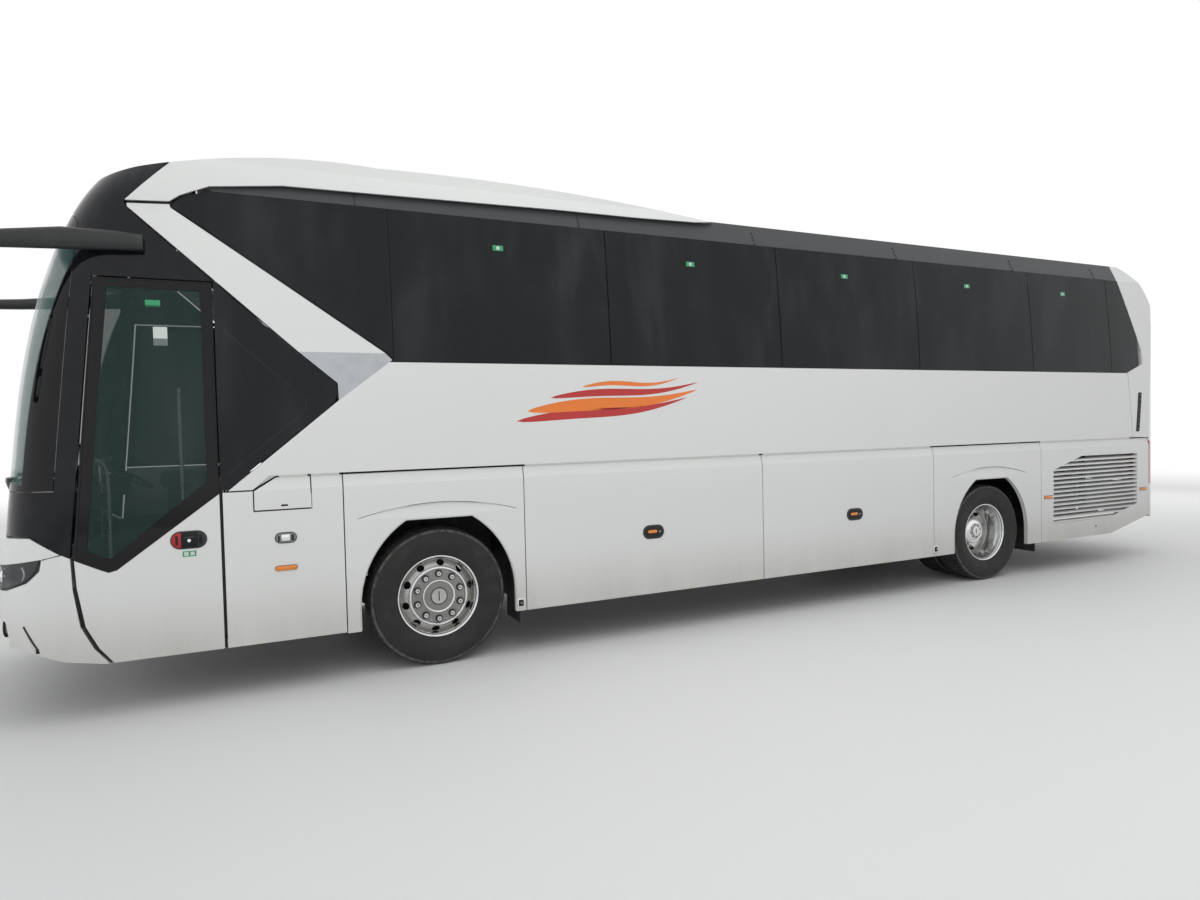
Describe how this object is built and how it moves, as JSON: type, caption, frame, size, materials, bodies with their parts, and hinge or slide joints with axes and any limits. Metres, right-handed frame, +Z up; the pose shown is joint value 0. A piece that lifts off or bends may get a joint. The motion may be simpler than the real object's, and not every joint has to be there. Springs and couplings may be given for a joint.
{
  "type": "touring coach",
  "caption": "Two-axle touring coach with a swinging passenger door, top-hinged luggage flaps, steered front wheels and freely rolling twin rear wheels.",
  "frame": {"origin": "centre of the overall bounding box on the ground between the wheels", "axes": "-Y towards the front, +X towards the left side with the passenger door, +Z up"},
  "size_m": [2.78, 12.69, 3.8668],
  "materials": {
    "white_paint": "gloss",
    "roof_paint": "gloss",
    "black_gloss": "gloss",
    "frame_dark": "satin",
    "side_glass": "tinted",
    "clear_glass": "clear green tint",
    "silver_trim": "satin",
    "lamp_glass": "clear",
    "lamp_red": "gloss",
    "bumper_black": "satin",
    "rim_alloy": "satin",
    "tyre_rubber": "matte",
    "chassis_black": "satin",
    "cast_grey": "rough",
    "floor_grey": "matte",
    "seat_fabric": "matte",
    "dash_grey": "matte",
    "rail_steel": "satin",
    "flap_rubber": "matte"
  },
  "bodies": {
    "coach": {"underframe": "chassis_black", "saloon_floor": "floor_grey", "side_walls": "white_paint", "side_windows": "side_glass", "window_frames": "frame_dark", "roof": "roof_paint", "roof_fairing": "white_paint", "front_arch": "black_gloss", "windscreen": "clear_glass", "front_mask": "black_gloss", "front_bumper": "white_paint", "headlamps": "lamp_glass", "cab_side": "white_paint", "slant_bands": "white_paint", "corner_trims": "silver_trim", "rear_shell": "white_paint", "rear_window": "side_glass", "rear_bumper": "white_paint", "tail_lamps": "lamp_red", "wheel_arch_panels": "white_paint", "mirrors": "bumper_black", "wipers": "bumper_black", "dashboard": "dash_grey", "seats": "seat_fabric", "luggage_racks": "dash_grey", "entrance_rails": "rail_steel", "engine": "cast_grey", "front_axle": "chassis_black", "rear_axle": "chassis_black", "mud_flaps": "flap_rubber"},
    "steering_left": {"knuckle_left": "cast_grey"},
    "wheel_front_left": {"rim_front_left": "rim_alloy", "tyre_front_left": "tyre_rubber"},
    "wheels_rear_left": {"rim_rear_left": "rim_alloy", "tyres_rear_left": "tyre_rubber"},
    "luggage_flap_front_left": {"luggage_flap_front_left": "white_paint"},
    "luggage_flap_rear_left": {"luggage_flap_rear_left": "white_paint"},
    "grille_flap_left": {"grille_flap_left": "white_paint"},
    "service_flap_left": {"service_flap_left": "white_paint"},
    "steering_right": {"knuckle_right": "cast_grey"},
    "wheel_front_right": {"rim_front_right": "rim_alloy", "tyre_front_right": "tyre_rubber"},
    "wheels_rear_right": {"rim_rear_right": "rim_alloy", "tyres_rear_right": "tyre_rubber"},
    "luggage_flap_front_right": {"luggage_flap_front_right": "white_paint"},
    "luggage_flap_rear_right": {"luggage_flap_rear_right": "white_paint"},
    "grille_flap_right": {"grille_flap_right": "white_paint"},
    "service_flap_right": {"service_flap_right": "white_paint"},
    "fuel_flap": {"fuel_flap": "white_paint"},
    "engine_lid": {"engine_lid": "white_paint"},
    "door_arm": {"door_arm": "chassis_black"},
    "passenger_door": {"passenger_door": "white_paint", "door_glass": "clear_glass"}
  },
  "joints": [
    {"name": "steer_left", "type": "hinge", "parent": "coach", "child": "steering_left", "pos_m": [0.93, -2.915, 0.522], "axis": [0, 0, 1], "range_deg": [-45, 45]},
    {"name": "spin_front_left", "type": "hinge", "parent": "steering_left", "child": "wheel_front_left", "pos_m": [1.0675, -2.915, 0.522], "axis": [1, 0, 0], "continuous": true},
    {"name": "spin_rear_left", "type": "hinge", "parent": "coach", "child": "wheels_rear_left", "pos_m": [1.0675, 3.145, 0.522], "axis": [1, 0, 0], "continuous": true},
    {"name": "luggage_flap_front_left_hinge", "type": "hinge", "parent": "coach", "child": "luggage_flap_front_left", "pos_m": [1.249, -1.087, 1.483], "axis": [0, -1, 0], "range_deg": [0, 80]},
    {"name": "luggage_flap_rear_left_hinge", "type": "hinge", "parent": "coach", "child": "luggage_flap_rear_left", "pos_m": [1.249, 1.1635, 1.483], "axis": [0, -1, 0], "range_deg": [0, 80]},
    {"name": "grille_flap_left_hinge", "type": "hinge", "parent": "coach", "child": "grille_flap_left", "pos_m": [1.249, 4.991, 1.483], "axis": [0, -1, 0], "range_deg": [0, 75]},
    {"name": "service_flap_left_hinge", "type": "hinge", "parent": "coach", "child": "service_flap_left", "pos_m": [1.249, -3.7065, 1.483], "axis": [0, -1, 0], "range_deg": [0, 80]},
    {"name": "steer_right", "type": "hinge", "parent": "coach", "child": "steering_right", "pos_m": [-0.93, -2.915, 0.522], "axis": [0, 0, 1], "range_deg": [-45, 45]},
    {"name": "spin_front_right", "type": "hinge", "parent": "steering_right", "child": "wheel_front_right", "pos_m": [-1.0675, -2.915, 0.522], "axis": [1, 0, 0], "continuous": true},
    {"name": "spin_rear_right", "type": "hinge", "parent": "coach", "child": "wheels_rear_right", "pos_m": [-1.0675, 3.145, 0.522], "axis": [1, 0, 0], "continuous": true},
    {"name": "luggage_flap_front_right_hinge", "type": "hinge", "parent": "coach", "child": "luggage_flap_front_right", "pos_m": [-1.249, -1.087, 1.483], "axis": [0, 1, 0], "range_deg": [0, 80]},
    {"name": "luggage_flap_rear_right_hinge", "type": "hinge", "parent": "coach", "child": "luggage_flap_rear_right", "pos_m": [-1.249, 1.1635, 1.483], "axis": [0, 1, 0], "range_deg": [0, 80]},
    {"name": "grille_flap_right_hinge", "type": "hinge", "parent": "coach", "child": "grille_flap_right", "pos_m": [-1.249, 4.991, 1.483], "axis": [0, 1, 0], "range_deg": [0, 75]},
    {"name": "service_flap_right_hinge", "type": "hinge", "parent": "coach", "child": "service_flap_right", "pos_m": [-1.249, -3.8145, 1.483], "axis": [0, 1, 0], "range_deg": [0, 80]},
    {"name": "fuel_flap_hinge", "type": "hinge", "parent": "coach", "child": "fuel_flap", "pos_m": [1.249, -3.9945, 1.483], "axis": [0, -1, 0], "range_deg": [0, 80]},
    {"name": "engine_lid_hinge", "type": "hinge", "parent": "coach", "child": "engine_lid", "pos_m": [0, 6.337, 1.964], "axis": [1, 0, 0], "range_deg": [0, 80]},
    {"name": "door_arm_swing", "type": "hinge", "parent": "coach", "child": "door_arm", "pos_m": [1.15, -5.155, 0.76], "axis": [0, 0, 1], "range_deg": [-120, 0]},
    {"name": "door_swing", "type": "hinge", "parent": "door_arm", "child": "passenger_door", "pos_m": [1.15, -4.705, 0.76], "axis": [0, 0, 1], "range_deg": [0, 120]}
  ],
  "couplings": [
    {"joint": "steer_right", "follows": "steer_left", "ratio": 1},
    {"joint": "door_swing", "follows": "door_arm_swing", "ratio": -1}
  ]
}
